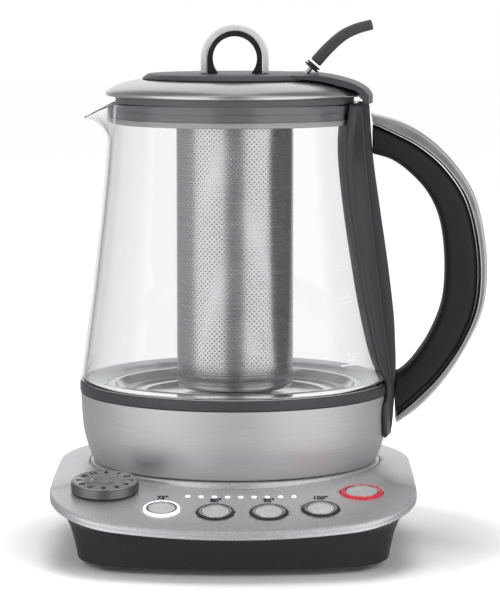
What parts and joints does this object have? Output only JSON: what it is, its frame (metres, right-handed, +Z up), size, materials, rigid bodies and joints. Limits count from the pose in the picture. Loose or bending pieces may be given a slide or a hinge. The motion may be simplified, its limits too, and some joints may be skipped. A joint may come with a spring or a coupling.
{
  "type": "automatic tea maker",
  "caption": "Cordless glass tea kettle with a lift-off lid and lever-raised filter, on a swivel base with a timer knob and touch-ringed buttons.",
  "frame": {"origin": "centre of the whole object's plan outline, on the surface that its feet rest on", "axes": "+Z up; the control panel faces -Y; the handle points to +X and the spout to -X; the kettle's axis is at x -0.019 m, y 0.017 m"},
  "size_m": [0.2139, 0.21, 0.2588],
  "materials": {
    "housing_plastic": "dark charcoal plastic, satin",
    "steel": "brushed stainless steel",
    "dark_steel": "dark tinted steel, satin",
    "bright_steel": "smooth bright stainless steel",
    "grey_plastic": "mid grey plastic, matt",
    "grip": "black plastic, satin",
    "white_light": "clear white light guide",
    "red_light": "red light guide",
    "rubber": "black rubber, matt",
    "seal_rubber": "pale silicone rubber",
    "circuit_board": "green circuit board with moulded blocks",
    "glass": "clear polished glass"
  },
  "bodies": {
    "base": {"base_housing": "housing_plastic", "base_bottom_plate": "housing_plastic", "fascia_plate": "steel", "kettle_seat": "steel", "base_connector": "housing_plastic", "control_board": "circuit_board", "power_board": "circuit_board", "timer_encoder": "grey_plastic", "led_light_bar": "white_light", "button_1_ring": "white_light", "button_2_ring": "housing_plastic", "button_3_ring": "housing_plastic", "button_4_ring": "housing_plastic", "power_button_ring": "red_light", "cord_gland": "rubber", "foot_1": "rubber", "foot_2": "rubber", "foot_3": "rubber", "foot_4": "rubber", "base_screw_1": "bright_steel", "base_screw_2": "bright_steel", "base_screw_3": "bright_steel", "base_screw_4": "bright_steel"},
    "timer_knob": {"timer_knob": "steel"},
    "kettle_foot": {"kettle_bottom_cover": "housing_plastic", "kettle_socket": "housing_plastic"},
    "kettle": {"steel_cup": "steel", "band_ring": "dark_steel", "plate_seal": "seal_rubber", "heating_plate": "bright_steel", "plate_surround": "bright_steel", "heating_element": "dark_steel", "temperature_sensor": "bright_steel", "thermostat": "housing_plastic", "glass_jug": "glass", "handle_bracket": "dark_steel", "handle_grip": "grip", "handle_trim": "steel"},
    "lid": {"lid_dome": "steel", "lid_insert": "grey_plastic", "lid_seal": "seal_rubber", "lid_cover": "dark_steel", "lid_loop_band": "bright_steel", "lid_loop_core": "grip", "lever_fork": "grey_plastic", "lever_pin": "bright_steel"},
    "lever": {"lever_rod": "bright_steel", "lever_collar": "dark_steel", "lever_grip": "grip"},
    "filter": {"filter_basket": "steel", "filter_cap": "steel", "filter_rim": "bright_steel"},
    "button_1": {"button_1_cap": "steel"},
    "button_2": {"button_2_cap": "steel"},
    "button_3": {"button_3_cap": "steel"},
    "button_4": {"button_4_cap": "steel"},
    "power_button": {"power_button_cap": "steel"}
  },
  "joints": [
    {"name": "kettle_lift", "type": "slide", "parent": "base", "child": "kettle_foot", "axis": [0, 0, 1], "range_m": [0, 0.1]},
    {"name": "kettle_swivel", "type": "hinge", "parent": "kettle_foot", "child": "kettle", "pos_m": [-0.019, 0.017, 0.0387], "axis": [0, 0, 1], "continuous": true},
    {"name": "lid_lift", "type": "slide", "parent": "kettle", "child": "lid", "axis": [0, 0, 1], "range_m": [0, 0.16]},
    {"name": "filter_lever", "type": "hinge", "parent": "lid", "child": "lever", "pos_m": [0.0112, 0.017, 0.2255], "axis": [0, -1, 0], "range_deg": [0, 40]},
    {"name": "filter_rise", "type": "slide", "parent": "lid", "child": "filter", "axis": [0, 0, 1], "range_m": [0, 0.008]},
    {"name": "timer_turn", "type": "hinge", "parent": "base", "child": "timer_knob", "pos_m": [-0.0805, -0.058, 0.03512], "axis": [0, -0.1366, 0.9906], "range_deg": [0, 300]},
    {"name": "button_1_press", "type": "slide", "parent": "base", "child": "button_1", "axis": [0, 0.2298, -0.9732], "range_m": [0, 0.0015], "stiffness_N_per_m": 500},
    {"name": "button_2_press", "type": "slide", "parent": "base", "child": "button_2", "axis": [0, 0.2433, -0.97], "range_m": [0, 0.0015], "stiffness_N_per_m": 500},
    {"name": "button_3_press", "type": "slide", "parent": "base", "child": "button_3", "axis": [0, 0.2433, -0.97], "range_m": [0, 0.0015], "stiffness_N_per_m": 500},
    {"name": "button_4_press", "type": "slide", "parent": "base", "child": "button_4", "axis": [0, 0.2298, -0.9732], "range_m": [0, 0.0015], "stiffness_N_per_m": 500},
    {"name": "power_button_press", "type": "slide", "parent": "base", "child": "power_button", "axis": [0, 0.1448, -0.9895], "range_m": [0, 0.0015], "stiffness_N_per_m": 500}
  ],
  "couplings": [
    {"joint": "filter_lever", "follows": "filter_rise", "rad_per_m": 87.2}
  ]
}
